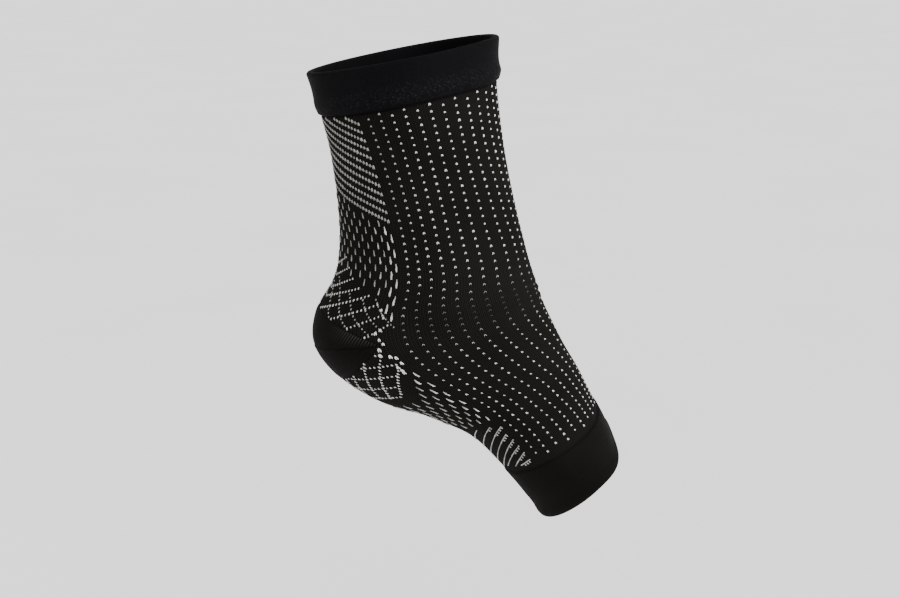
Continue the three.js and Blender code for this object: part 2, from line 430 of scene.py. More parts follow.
def from_front(share):
    """How far a share lies from the front line, either way round."""
    return np.minimum(np.mod(share, 1), 1 - np.mod(share, 1))


def drape(share, place):
    """The small folds at the bend of the ankle and the slight unevenness of worn cloth."""
    folds = FOLD_DEPTH * np.sin(2 * np.pi * (place - FOLD_START) / FOLD_PITCH)
    folds = folds * hump(place, FOLD_MIDDLE, FOLD_REACH) * hump(from_front(share), 0.02, 0.09)
    wave = WAVE * np.sin(2 * np.pi * (3 * share + 0.31 * place))
    ripple = RIPPLE * np.sin(2 * np.pi * (5 * share - 0.47 * place + 0.2))
    return folds + (wave + ripple)


tube = Tube()


def twist_table():
    """Shares by course and wale, from SPARE_COURSES over the chart to as many under it."""
    courses = np.arange(-SPARE_COURSES, COURSES + SPARE_COURSES + 1, 1.0)
    rows = eased(TWIST_COURSES, TWIST, np.clip(courses, 0, COURSES))
    wales = (TWIST_WALES[-1] - WALES, *TWIST_WALES, *(w + WALES for w in TWIST_WALES[:2]))
    rows = np.concatenate([rows[:, -1:] - 1, rows, rows[:, :2] + 1], 1)
    return eased(wales, rows.T, np.arange(-PANEL, WALES - PANEL + 1)).T


twist_grid = twist_table()


def place_of(course):
    """How far along the sleeve a course lies."""
    inside = np.clip(course, 0, COURSES)
    return eased(COURSE_ROWS, COURSE_PLACES, inside) + (course - inside) * COURSE_PITCH


course_table = np.arange(-30, COURSES + 30, 0.5)
place_table = place_of(course_table)


def course_of(place):
    return np.interp(place, place_table, course_table)


def share_of(wale, course):
    """How far round the sleeve a wale lies at a course."""
    wale, course = np.broadcast_arrays(np.asarray(wale, float), np.asarray(course, float))
    row = np.clip(course, -SPARE_COURSES, COURSES + SPARE_COURSES - 0.01) + SPARE_COURSES
    column = np.clip(wale, -PANEL, WALES - PANEL) + PANEL
    i = np.floor(row).astype(int)
    j = np.minimum(np.floor(column).astype(int), WALES - 1)
    part, rest = row - i, column - j
    upper = twist_grid[i, j] * (1 - rest) + twist_grid[i, j + 1] * rest
    lower = twist_grid[i + 1, j] * (1 - rest) + twist_grid[i + 1, j + 1] * rest
    return upper * (1 - part) + lower * part


def knit_at(wale, course):
    return tube.at(share_of(wale, course), place_of(course))


# Meshes


def linked(name, data):
    """A new object of the scene."""
    made = bpy.data.objects.new(name, data)
    bpy.context.scene.collection.objects.link(made)
    return made


def add_piece(name, points, faces, material, corners=None, tone=None):
    """A mesh object at the origin, smooth shaded, riding on the sleeve's one body."""
    faces = [list(dict.fromkeys(f)) for f in faces]
    faces = [f for f in faces if len(f) > 2]
    used = np.unique(np.concatenate([np.asarray(f) for f in faces]))
    renumber = np.full(len(points), -1)
    renumber[used] = np.arange(len(used))
    mesh = bpy.data.meshes.new(name)
    mesh.from_pydata(points[used].tolist(), [], [renumber[f].tolist() for f in faces])
    if corners is not None:
        layer = mesh.uv_layers.new(name="knit")
        vertex = np.zeros(len(mesh.loops), int)
        mesh.loops.foreach_get("vertex_index", vertex)
        uv = corners[used][vertex]
        # a face that crosses the seam keeps its wales on one side of it
        sizes = [p.loop_total for p in mesh.polygons]
        start = np.repeat([p.loop_start for p in mesh.polygons], sizes)
        first = uv[start, 0]
        uv[:, 0] += WALES * np.round((first - uv[:, 0]) / WALES)
        layer.data.foreach_set("uv", uv.ravel())
    if tone is not None:
        layer = mesh.attributes.new("tone", "FLOAT", "POINT")
        layer.data.foreach_set("value", tone[used])
    mesh.shade_smooth()
    mesh.materials.append(material)
    piece = linked(name, mesh)
    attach(piece, "root")
    return piece


def numbered(grid, start=0):
    """Point numbers in the rows and columns of a grid of points."""
    return start + np.arange(grid.shape[0] * grid.shape[1]).reshape(grid.shape[:2])


def closed(row):
    """A row of point numbers with its first one again at the end."""
    return np.r_[row, row[0]]


def sheet_faces(rows):
    """Quads between rows of point numbers that end at either side."""
    quads = np.stack([rows[:-1, :-1], rows[:-1, 1:], rows[1:, 1:], rows[1:, :-1]], -1)
    return quads.reshape(-1, 4)


def band_faces(rows):
    """Quads between rows of point numbers, each row closed round the sleeve."""
    return sheet_faces(np.c_[rows, rows[:, 0]])


def edge_faces(fine, coarse, ratio, flip):
    """Closes a wall between a fine row of point numbers and a coarse one under it."""
    faces = []
    for k in range(len(coarse) - 1):
        a, b = coarse[k], coarse[k + 1]
        f = fine[k * ratio : (k + 1) * ratio + 1]
        half = ratio // 2
        found = [(f[i], f[i + 1], a) for i in range(half)]
        found.append((a, f[half], b))
        found += [(f[i], f[i + 1], b) for i in range(half, ratio)]
        faces += [face[::-1] for face in found] if flip else found
    return faces


def gore_lines(wales):
    """The places where the heel pocket's upper and lower gore lines cross each wale."""
    places = np.linspace(*GORE_PLACES)
    points = tube.read(tube.points, share_of(wales[:, None], course_of(places)), places)
    back = -points[..., 0] - GORE_BACK
    up = points[..., 2] + GORE_DROP
    above = (up - back * math.tan(angle) for angle in (GORE_RISE, -GORE_FALL))
    return [places[np.argmax(height < 0, axis=1)] for height in above]


class MeshColumns:
    """Mesh columns of the ground knit, four to a wale, one right at each corner of the pocket."""

    PER_WALE = 4
    CORNER_MARGIN = 0.12

    def __init__(self):
        self.wale = -PANEL + np.arange(WALES * self.PER_WALE) / self.PER_WALE
        upper, lower = gore_lines(self.wale)
        inside = np.nonzero((upper < lower) & (self.wale > PANEL - 8))[0]
        first = self.wale[inside[0]] - self.CORNER_MARGIN
        last = self.wale[inside[-1]] + self.CORNER_MARGIN
        self.first = int(round(first)) + PANEL
        self.last = int(round(last)) + PANEL
        knots = (-PANEL, self.first - PANEL, self.last - PANEL, WALES - PANEL)
        self.chart = np.interp(self.wale, knots, (-PANEL, first, last, WALES - PANEL))
        upper, lower = gore_lines(self.chart)
        ends = [self.first * self.PER_WALE, self.last * self.PER_WALE]
        meet = [(upper[e] + lower[e]) / 2 for e in ends]
        column = np.arange(len(self.wale))
        # the parting line takes the way round the front from one corner to the other
        span = len(column) - (ends[1] - ends[0])
        way = np.mod(column - ends[1], len(column)) / span
        front = meet[1] + (meet[0] - meet[1]) * way
        self.open = (column > ends[0]) & (column < ends[1])
        self.upper = np.where(self.open, np.minimum(upper, lower), front)
        self.lower = np.where(self.open, np.maximum(upper, lower), front)

    def share(self, place):
        return share_of(np.broadcast_to(self.chart, place.shape), course_of(place))


def rib_height(columns):
    """Each wale is a low rib, with a groove at either side."""
    return RIB_DEPTH * np.array([0.3, 0.0, -1.0, 0.0])[columns % 4]


def ground_grid(columns, upper, lower, rows, every, out):
    """Points and knit coordinates of one part of the ground knit, above or below the heel."""
    step = np.linspace(0, 1, rows + 1)[:, None]
    place = upper + (lower - upper) * step
    share = columns.share(place)
    place, share = place[:, ::every], share[:, ::every]
    points = tube.at(share, place, out)
    wale = np.broadcast_to(columns.wale[::every], place.shape)
    return points, np.stack([wale, -course_of(place)], -1)


def make_ground(columns, material):
    """The patterned body: a closed wall with ribs outside, cut away where the heel pocket is."""
    count = len(columns.wale)
    ribs = rib_height(np.arange(count))
    top = np.full(count, float(CUFF_EDGE))
    end = np.full(count, float(BAND_EDGE))
    every = columns.PER_WALE
    parts = []
    for out, rows, skip in ((ribs, (72, 60), 1), (-KNIT_WALL, (24, 20), every)):
        parts.append(ground_grid(columns, top, columns.upper, rows[0], skip, out))
        parts.append(ground_grid(columns, columns.lower, end, rows[1], skip, out))
    points, corners, numbers = [], [], []
    start = 0
    for grid, uv in parts:
        numbers.append(numbered(grid, start))
        points.append(grid.reshape(-1, 3))
        corners.append(uv.reshape(-1, 2))
        start += len(points[-1])
    upper, lower, in_upper, in_lower = numbers
    lower[0] = np.where(columns.open, lower[0], upper[-1])
    in_lower[0] = np.where(columns.open[::every], in_lower[0], in_upper[-1])
    faces = [band_faces(upper)[:, ::-1], band_faces(lower)[:, ::-1]]
    faces += [band_faces(in_upper), band_faces(in_lower)]
    faces = [list(f) for group in faces for f in group]
    faces += edge_faces(closed(upper[0]), closed(in_upper[0]), every, False)
    faces += edge_faces(closed(lower[-1]), closed(in_lower[-1]), every, True)
    span = slice(columns.first * every, columns.last * every + 1)
    in_span = slice(columns.first, columns.last + 1)
    faces += edge_faces(upper[-1][span], in_upper[-1][in_span], every, True)
    faces += edge_faces(lower[0][span], in_lower[0][in_span], every, False)
    points, corners = np.concatenate(points), np.concatenate(corners)
    body = add_piece("ground_knit", points, faces, material, corners)
    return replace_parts(body, "knit_sleeve")


def pocket_relief(wale, share, fan, depth):
    """The heel's fan ribs, and how much of them shows: most at the sides, above the suture."""
    wave = np.cos(2 * np.pi * HEEL_RIBS * (np.abs(wale - BACK) + HEEL_RIB_LEAN * depth * fan))
    side = hump(from_front(share), HEEL_RIB_SHARE, 0.038)
    return wave, side * np.clip(1.15 - fan / 0.42, 0, 1) * np.clip(fan / 0.04, 0, 1)


def make_pocket(columns, material):
    """The plain heel, knitted in courses that fan out from the corner of the gore lines."""
    edge = np.arange(columns.first * columns.PER_WALE, columns.last * columns.PER_WALE + 1)
    at = np.linspace(edge[0], edge[-1], (len(edge) - 1) * HEEL_FINENESS + 1)
    every = columns.PER_WALE * HEEL_FINENESS
    lines = (columns.upper, columns.lower, columns.wale, columns.chart)
    upper, lower, wale, chart = (np.interp(at, edge, line[edge]) for line in lines)
    fan = np.linspace(0, 1, HEEL_ROWS_OF_MESH + 1)[:, None]
    place = upper + (lower - upper) * fan
    share = share_of(np.broadcast_to(chart, place.shape), course_of(place))
    wave, shown = pocket_relief(wale, share, fan, lower - upper)
    suture = -SUTURE_DEPTH * hump(fan, 0.50, 0.014) + SUTURE_RIDGE * hump(fan, 0.535, 0.02)
    swell = HEEL_SWELL * np.clip(np.minimum(fan, 1 - fan) / 0.08, 0, 1)
    outer = tube.at(share, place, HEEL_RIB_RISE * wave * shown + suture + swell)
    inner = tube.at(share[::4, ::every], place[::4, ::every], -KNIT_WALL)
    front = numbered(outer)
    back = numbered(inner, front.size)
    for grid in (front, back):
        grid[:, 0] = grid[0, 0]
        grid[:, -1] = grid[0, -1]
    faces = [list(f) for f in sheet_faces(front)[:, ::-1]]
    faces += [list(f) for f in sheet_faces(back)]
    faces += edge_faces(front[0], back[0], every, False)
    faces += edge_faces(front[-1], back[-1], every, True)
    points = np.concatenate([outer.reshape(-1, 3), inner.reshape(-1, 3)])
    fan_uv = np.stack([np.broadcast_to(wale, place.shape), -fan * 60 + 0 * place], -1)
    corners = np.concatenate([fan_uv.reshape(-1, 2), fan_uv[::4, ::every].reshape(-1, 2)])
    # a painted highlight on the rib crests, carried in the tone attribute
    crest_highlight = np.clip(wave, 0, 1) * shown
    tone = np.concatenate([crest_highlight.ravel(), np.zeros(back.size)])
    pocket = add_piece("heel_pocket_knit", points, faces, material, corners, tone)
    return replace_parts(pocket, "heel_pocket")


def make_welt(name, profile, columns, material):
    """A folded welt: rows of (place, height out, on) swept right round, the last to the first.

    A height is a number on the inside, and a function of the share on the outside.
    """
    every = 2
    wale = columns.wale[::every]
    points, corners, outside = [], [], []
    for place, out, on in profile:
        along = np.full(wale.shape, float(place))
        share = share_of(columns.chart[::every], course_of(along))
        height = out(share) if callable(out) else np.full(wale.shape, out)
        points.append(tube.at(share, along, height, on))
        course = np.full(wale.shape, -(course_of(place) + on / 0.0008))
        corners.append(np.stack([wale, course], -1))
        # 1 on the outer wall, the only place where the cuff's painted highlight shows
        outside.append(np.full(wale.shape, float(callable(out))))
    rows = np.arange(len(profile) * len(wale)).reshape(len(profile), -1)
    rows = np.concatenate([rows, rows[:1]])
    faces = band_faces(rows)[:, ::-1]
    points, corners, outside = map(np.concatenate, (points, corners, outside))
    return add_piece(name, points, faces, material, corners, outside)


def at_back(share):
    """1 down the middle of the back and 0 down the front."""
    return 0.5 - 0.5 * np.cos(2 * np.pi * share)


def make_cuff(columns, material):
    """The top welt, turned over at the rim and standing proud of the ground at its lower edge."""
    profile = []
    for step in np.linspace(0, 1, WELT_STEPS):

        def height(share, step=step):
            flare = CUFF_FLARE * at_back(share) * np.clip(1 - step / 0.22, 0, 1) ** 2
            front_bulge = CUFF_FRONT_BULGE * (1 - at_back(share)) * hump(step, 0.78, 0.12)
            bulge = CUFF_BULGE * hump(step, 0.76, 0.15) + front_bulge
            waist = -CUFF_WAIST * hump(step, 0.35, 0.2)
            wander = WELT_WAVE * np.sin(2 * np.pi * (4 * share + 0.9 * (1 - step)))
            drop = np.clip((step - 0.93) / 0.07, 0, 1)
            return (CUFF_PROUD + flare + bulge + waist + wander) * np.sqrt(1 - drop**2 * 0.995)

        profile.append((step * CUFF_EDGE, height, 0.0))
    for step in np.linspace(1, 0, LINING_STEPS):
        profile.append((step * CUFF_EDGE, -KNIT_WALL, 0.0))
    middle = (CUFF_PROUD - KNIT_WALL) / 2
    radius = (CUFF_PROUD + KNIT_WALL) / 2
    for angle in np.linspace(math.pi, 0, RIM_STEPS)[1:-1]:

        def lip(share, angle=angle):
            flare = CUFF_FLARE * at_back(share) * (1 + math.cos(angle)) / 2
            return middle + radius * math.cos(angle) + flare

        profile.append((0, lip, -radius * math.sin(angle)))
    cuff = make_welt("cuff_welt", profile, columns, material)
    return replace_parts(cuff, "top_cuff")


def make_band(columns, material):
    """The forefoot welt, a little proud, with a rounded open edge."""
    profile = []
    for step in np.linspace(0, 1, WELT_STEPS):

        def height(share, step=step):
            rise = np.sqrt(1 - np.clip(1 - step / 0.07, 0, 1) ** 2 * 0.995)
            roll = BAND_ROLL * hump(step, 0.93, 0.07) - BAND_WAIST * hump(step, 0.72, 0.12)
            wander = WELT_WAVE * np.sin(2 * np.pi * (3 * share + 0.7 * step))
            return (BAND_PROUD + roll + wander) * rise

        profile.append((BAND_EDGE + step * (RIM - BAND_EDGE), height, 0.0))
    middle = (BAND_PROUD - KNIT_WALL) / 2
    radius = (BAND_PROUD + KNIT_WALL) / 2
    for angle in np.linspace(0, math.pi, RIM_STEPS)[1:-1]:
        profile.append((RIM, middle + radius * math.cos(angle), radius * math.sin(angle)))
    for step in np.linspace(1, 0, LINING_STEPS):
        profile.append((BAND_EDGE + step * (RIM - BAND_EDGE), -KNIT_WALL, 0.0))
    band = make_welt("forefoot_welt", profile, columns, material)
    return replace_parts(band, "forefoot_band")


# The off-white pattern, one mark for each stitch


def leg_points(path, radii, side):
    """Rings along one leg of a stitch."""
    turn = np.linspace(0, 2 * np.pi, LEG_SIDES + 1)[:-1]
    rings = []
    for k, (middle, radius) in enumerate(zip(path, radii)):
        ahead = unit(path[min(k + 1, len(path) - 1)] - path[max(k - 1, 0)])
        across = unit(np.cross(ahead, (0, 0, 1)))
        out = np.cross(across, ahead)
        circle = np.outer(np.cos(turn), across) + np.outer(np.sin(turn), out)
        rings.append(middle + radius * circle)
    points = np.concatenate(rings)
    points[:, 0] *= side
    return points


def stitch_template():
    """Plump and thin forms of one stitch, two legs that meet at the top, and its faces."""
    plump = np.concatenate([leg_points(LEG_PATH, LEG_RADII, s) for s in (1, -1)])
    thin = np.concatenate([leg_points(THIN_PATH, THIN_RADII, s) for s in (1, -1)])
    faces = []
    per_leg = len(LEG_PATH) * LEG_SIDES
    for leg in range(2):
        first = leg * per_leg
        found = []
        for ring in range(len(LEG_PATH) - 1):
            for side in range(LEG_SIDES):
                a = first + ring * LEG_SIDES + side
                b = first + ring * LEG_SIDES + (side + 1) % LEG_SIDES
                found.append((a, b, b + LEG_SIDES, a + LEG_SIDES))
        found.append(tuple(first + s for s in reversed(range(LEG_SIDES))))
        found.append(tuple(first + per_leg - LEG_SIDES + s for s in range(LEG_SIDES)))
        faces += [f[::-1] for f in found] if leg == 0 else found
    return plump, thin, faces


PLUMP, THIN, STITCH_FACES = stitch_template()


def stitch_steps(wale, course):
    """Vectors from wale to wale and from course to course, at places on the worn sleeve."""
    across = knit_at(wale + 0.5, course) - knit_at(wale - 0.5, course)
    along = knit_at(wale, course - 0.5) - knit_at(wale, course + 0.5)
    return across, along


def stitch_axes(wale, course):
    """Unit vectors across, up and out of the knit at each stitch."""
    across, along = map(unit, stitch_steps(wale, course))
    out = unit(np.cross(along, across))
    outward = unit(tube.read(tube.outward, share_of(wale, course), place_of(course)))
    out *= np.sign(np.sum(out * outward, -1))[:, None]
    return across, along, out


def add_stitches(name, marks, material):
    """Lays yarn at each mark: wale, course, width, height, thinness and tone, sizes in metres."""
    wale, course, width, height, thin, tone = marks.T
    middle = knit_at(wale, course)
    across, along, out = stitch_axes(wale, course)
    form = PLUMP + thin[:, None, None] * (THIN - PLUMP)
    lean = rng.normal(0, LEAN_SPREAD, len(marks))
    size = rng.normal(1, SIZE_SPREAD, len(marks))
    x = form[..., 0] * (width * size)[:, None]
    y = form[..., 1] * (height * size)[:, None]
    x, y = x + y * lean[:, None], y - x * lean[:, None]
    z = form[..., 2] * YARN_RISE * (1 - 0.45 * thin)[:, None]
    points = (
        middle[:, None, :]
        + x[..., None] * across[:, None, :]
        + y[..., None] * along[:, None, :]
        + z[..., None] * out[:, None, :]
    )
    per = len(PLUMP)
    faces = []
    for k in range(len(marks)):
        faces += [[k * per + v for v in face] for face in STITCH_FACES]
    tone = np.clip(tone * rng.normal(1, TONE_SPREAD, len(marks)), 0, 1)
    points = points.reshape(-1, 3)
    return add_piece(name, points, faces, material, tone=np.repeat(tone, per))


def off_pocket(wale, course):
    """True where a stitch clears the heel pocket."""
    points = knit_at(wale, course)
    back = -points[..., 0] - GORE_BACK
    up = points[..., 2] + GORE_DROP
    over = up * math.cos(GORE_RISE) - back * math.sin(GORE_RISE)
    under = -up * math.cos(GORE_FALL) - back * math.sin(GORE_FALL)
    return np.maximum(over, under) > POCKET_MARGIN


def both_sides(marks):
    """The back panel is worked the same on the inner and outer side."""
    marks = np.array(marks, float)
    other = marks.copy()
    other[:, 0] = 2 * BACK - other[:, 0]
    return np.concatenate([marks, other[other[:, 0] > BACK + 0.1]])


def panel_marks(marks):
    """Marks with widths in wales and heights in courses, put on both sides and made metres."""
    marks = both_sides(marks)
    marks = marks[off_pocket(marks[:, 0], marks[:, 1])]
    across, along = stitch_steps(marks[:, 0], marks[:, 1])
    marks[:, 2] *= np.linalg.norm(across, axis=-1)
    marks[:, 3] *= np.linalg.norm(along, axis=-1)
    return marks


def dots():
    """Single stitches every fourth wale and course, staggered like bricks."""
    wale, course = [], []
    for column in range(-DOT_LAST, DOT_LAST + 1, DOT_STEP):
        first = 0 if column % (2 * DOT_STEP) == 0 else DOT_STEP // 2
        rows = range(first, COURSES + 1, DOT_STEP)
        wale += [column] * len(rows)
        course += rows
    wale, course = np.array(wale, float), np.array(course, float)
    away = np.abs(wale)
    # the ankle crease, where the dots are pulled thin and also painted darker as shade
    sunk = np.clip(hump(away, 22, 13) + 0.7 * hump(away, 44, 14), 0, 1)
    crease_pinch_and_shade = hump(course, 113, 16) * sunk
    edge = hump(away, 54, 9) * hump(course, 20, 60)
    glow = hump(wale, 4, 20) * hump(course, 15, 60)
    foot = np.clip((course - 120) / 40, 0, 1)
    width = DOT_WIDTH * (1 + 0.20 * crease_pinch_and_shade + 0.10 * glow - 0.20 * foot)
    height = DOT_HEIGHT * (1 - 0.20 * crease_pinch_and_shade + 0.10 * glow)
    # tone paints light and shade: brighter toward the front where the key light falls, darker in
    # the crease and by the panel's edge
    tone = 0.80 + 0.20 * glow - 0.95 * crease_pinch_and_shade - 0.55 * edge
    return np.stack([wale, course, width, height, np.sqrt(crease_pinch_and_shade), tone], -1)


def achilles_stripes():
    """Twill stripes, one chain of stitches each, that fall toward the front on either side."""
    marks = []
    for number in range(STRIPES):
        level = PANEL + STRIPE_START + STRIPE_PITCH * number
        for wale in np.arange(PANEL, BACK + 0.5):
            course = level - wale
            tone = STRIPE_TONE - STRIPE_FADE * (wale - PANEL)
            if course > -0.5:
                marks.append((wale, course, STRIPE_WIDTH, STRIPE_HEIGHT, STRIPE_THINNESS, tone))
    return panel_marks(marks)


def run_of_stitches(wale, first, last, width, tone):
    """One dash: stitches one under the other down a wale, the lower ones plumper."""
    marks = []
    for course in np.arange(first + 0.5, last + 0.1, 1.0):
        down = (course - first) / (last - first)
        plump = 0.46 + 0.58 * math.sin(math.pi * min(1, down * 1.05) ** 1.6)
        lit = tone * (0.60 + 0.45 * down)
        aside = rng.normal(0, ASIDE_SPREAD) * width
        marks.append((wale + aside, course, width * plump, DASH_STITCH, 0, lit))
    return marks


def ankle_dashes():
    """Dashes between the stripes and the heel, neighbouring columns in turn."""
    marks = []
    for column in range(ANKLE_COLUMNS):
        wale = PANEL + 0.1 + ANKLE_WALES * column
        last = 112 - 6 * column if column < 2 else 97 - 1.5 * (column - 2)
        wide, tone = DASH_WIDTHS.get(column, OTHER_DASHES)
        half = 2.1 if column < 2 else 1.6
        middle = 27.5 - 0.2 * column + (3.8 if column % 2 else 0)
        while middle < last:
            middle += ANKLE_PITCH
            lean = -0.045 * max(0, middle - 88)
            if wale + middle > 117 and middle + half < last + 2:
                marks += run_of_stitches(wale + lean, middle - half, middle + half, wide, tone)
    return panel_marks(marks)


def heel_lattice():
    """Slanted rows and columns of single stitches above the heel pocket."""
    marks = []
    for first, level, slope in HEEL_ROWS:
        for wale in np.arange(first, BACK + 0.3, 1.0):
            rise = min(wale - first, 5.5) if slope > 0.9 else wale - first
            marks.append((wale, level + slope * rise, *HEEL_ROW_STITCH))
    for start, first, last in HEEL_COLUMNS:
        for course in np.arange(first, last, 1.6):
            wale = start - 0.46 * (course - 96)
            if wale < BACK:
                marks.append((wale, course, *HEEL_COLUMN_STITCH))
    for wale, course, width, height in CORNER_STITCHES:
        marks.append((wale, course, width, height, 0, 1.0))
    return panel_marks(marks)


def arch_lattice():
    """Rows and slanted columns of single stitches under the heel pocket's corner."""
    marks = []
    for level, first, last in ARCH_ROWS:
        for wale in np.arange(first, last + 0.1, 1.15):
            marks.append((wale, level - 0.05 * (wale - first), *ARCH_ROW_STITCH))
    for start, slope, first, last in ARCH_COLUMNS:
        for course in np.arange(first, last, 1.75):
            wale = start + slope * (course - first)
            if PANEL < wale <= BACK + 0.3:
                marks.append((wale, course, *ARCH_COLUMN_STITCH))
    for wale, course in ARCH_CORNER:
        marks.append((wale, course, *ARCH_CORNER_STITCH))
    return panel_marks(marks)


def arch_dashes():
    """Dashes round the sole, thick along the edge of the panel."""
    marks = []
    for column in range(ARCH_DASH_COLUMNS):
        wale = PANEL + 0.2 + ARCH_WALES * column
        wide, tone = ARCH_DASH_WIDTHS.get(column, OTHER_ARCH_DASHES)
        middle = 131.5 + 0.55 * column + (3.9 if column % 2 else 0)
        edge = 134 if column == 0 else min(128 + (wale - 53.6) / 0.50, 155)
        while middle < ARCH_LAST:
            middle += ARCH_PITCH
            if middle - 2 > edge:
                first, last = middle - ARCH_HALF, middle + ARCH_HALF
                marks += run_of_stitches(wale, first, last, wide, tone)
    return panel_marks(marks)


def arch_hoops():
    """Slanted hoops round the sole behind the forefoot, with toothed ends."""
    marks = []
    for start, first, steep in HOOPS:
        for wale in np.arange(first, BACK + 0.3, HOOP_STEP):
            gone = wale - PANEL
            course = start + steep * gone - HOOP_BEND * gone**2
            if course > COURSES + 2:
                continue
            marks.append((wale, course, *(HOOP_STITCH if gone > HOOP_EDGE else HOOP_EDGE_STITCH)))
            if gone < TOOTH_WALES and start > TOOTH_COURSE and round(gone / HOOP_STEP) % 2:
                marks.append((wale, course + 0.85, *TOOTH_STITCH))
    return panel_marks(marks)


# Materials


class Material:
    """A node material with short ways to add and link nodes."""

    def __init__(self, name):
        self.material = bpy.data.materials.new(name)
        self.material.use_nodes = True
        self.tree = self.material.node_tree
        self.shader = self.tree.nodes["Principled BSDF"]

    def node(self, kind, **settings):
        made = self.tree.nodes.new(kind)
        for key, value in settings.items():
            setattr(made, key, value)
        return made

    def put(self, value, socket):
        if isinstance(value, bpy.types.NodeSocket):
            self.tree.links.new(value, socket)
        else:
            socket.default_value = value

    def math(self, operation, first, second=0.0):
        made = self.node("ShaderNodeMath", operation=operation)
        self.put(first, made.inputs[0])
        self.put(second, made.inputs[1])
        return made.outputs[0]

    def noise(self, scale, detail):
        made = self.node("ShaderNodeTexNoise")
        made.inputs["Scale"].default_value = scale
        made.inputs["Detail"].default_value = detail
        self.put(self.node("ShaderNodeTexCoord").outputs["Object"], made.inputs["Vector"])
        return made.outputs["Fac"]

    def tone(self):
        return self.node("ShaderNodeAttribute", attribute_name="tone").outputs["Fac"]

    def wale_and_course(self):
        split = self.node("ShaderNodeSeparateXYZ")
        self.put(self.node("ShaderNodeUVMap", uv_map="knit").outputs[0], split.inputs[0])
        return split.outputs[0], split.outputs[1]

    def ramp(self, factor, *stops):
        made = self.node("ShaderNodeValToRGB")
        ramp = made.color_ramp
        for element, (position, color) in zip(ramp.elements, stops):
            element.position = position
            element.color = (*color, 1)
        self.put(factor, made.inputs["Fac"])
        return made.outputs["Color"]

    def mix(self, factor, first, second):
        made = self.node("ShaderNodeMix", data_type="RGBA")
        self.put(factor, made.inputs["Factor"])
        self.put(first, made.inputs[6])
        self.put(second, made.inputs[7])
        return made.outputs[2]

    def spread(self, value, low, high, to_low, to_high):
        made = self.node("ShaderNodeMapRange")
        for socket, number in zip(made.inputs, (value, low, high, to_low, to_high)):
            self.put(number, socket)
        return made.outputs["Result"]

    def bump(self, height, distance):
        made = self.node("ShaderNodeBump")
        made.inputs["Distance"].default_value = distance
        made.inputs["Strength"].default_value = 1.0
        self.put(height, made.inputs["Height"])
        self.tree.links.new(made.outputs["Normal"], self.shader.inputs["Normal"])

    def finish(self, **constants):
        for name, value in constants.items():
            self.shader.inputs[name.replace("_", " ")].default_value = value
        return self.material


def stitch_relief(made, fine):
    """Height of plain knit from its wale and course: two slanted legs to each stitch."""
    wale, course = made.wale_and_course()
    wale = made.math("MULTIPLY", wale, fine)
    course = made.math("MULTIPLY", course, fine)
    shifted = made.math("FRACT", made.math("ADD", wale, 0.5))
    across = made.math("ABSOLUTE", made.math("SUBTRACT", shifted, 0.5))
    slant = made.math("ADD", course, made.math("MULTIPLY", across, 1.1))
    leg = made.math("SINE", made.math("MULTIPLY", made.math("FRACT", slant), math.pi))
    side = made.math("SINE", made.math("MULTIPLY", across, 2 * math.pi))
    side = made.math("POWER", made.math("ABSOLUTE", side), 0.6)
    leg = made.math("ADD", made.math("MULTIPLY", leg, 0.7), 0.3)
    return made.math("MULTIPLY", leg, side)


def with_painted_highlight(made, color, strength):
    """Painted highlight outside the cuff: light flecks, most of them in a streak round it."""
    course = made.wale_and_course()[1]
    away = made.math("ABSOLUTE", made.math("SUBTRACT", course, CUFF_HIGHLIGHT_COURSE))
    streak = made.spread(away, 2.0, 6.5, 1.0, 0.12)
    highlight_fleck = made.spread(made.noise(1300, 2), 0.52, 0.72, 0.0, strength)
    shown = made.math("MULTIPLY", made.math("MULTIPLY", highlight_fleck, streak), made.tone())
    return made.mix(shown, color, CUFF_HIGHLIGHT_COLOR)


def black_knit(name, valley_shade, lit, depth, rough, sheen, fine=1.0, highlight_strength=0.0, ribs=0.0, gloss=0.25):
    """Near-black knit with painted shade between the legs of the stitches, soft fuzz and uneven
    dye.
    """
    made = Material(name)
    height = stitch_relief(made, fine)
    fuzz = made.noise(2600, 3)
    patch = made.math("MULTIPLY", made.math("SUBTRACT", made.noise(38, 3), 0.5), 0.5)
    level = made.math("ADD", made.math("MULTIPLY", height, 0.70), made.math("MULTIPLY", fuzz, 0.50))
    # painted shade in the valleys of the stitches and painted light on their crests, with random
    # fuzz and dye patches
    color = made.ramp(made.math("ADD", level, patch), (0.1, valley_shade), (0.95, lit))
    # a painted highlight streak round the outside of the cuff
    if highlight_strength:
        color = with_painted_highlight(made, color, highlight_strength)
    # a painted highlight on the heel's rib crests, from the tone attribute
    if ribs:
        color = made.mix(made.math("MULTIPLY", made.tone(), ribs), color, HEEL_CREST_HIGHLIGHT)
    made.put(color, made.shader.inputs["Base Color"])
    rough_level = made.spread(made.math("ADD", fuzz, height), 0.3, 1.4, rough + 0.08, rough - 0.08)
    made.put(rough_level, made.shader.inputs["Roughness"])
    made.bump(made.math("ADD", height, made.math("MULTIPLY", fuzz, 0.35)), depth)
    return made.finish(
        Sheen_Weight=sheen,
        Sheen_Roughness=0.4,
        Sheen_Tint=(0.60, 0.46, 0.36, 1),
        IOR=1.12,
        Specular_IOR_Level=gloss,
    )


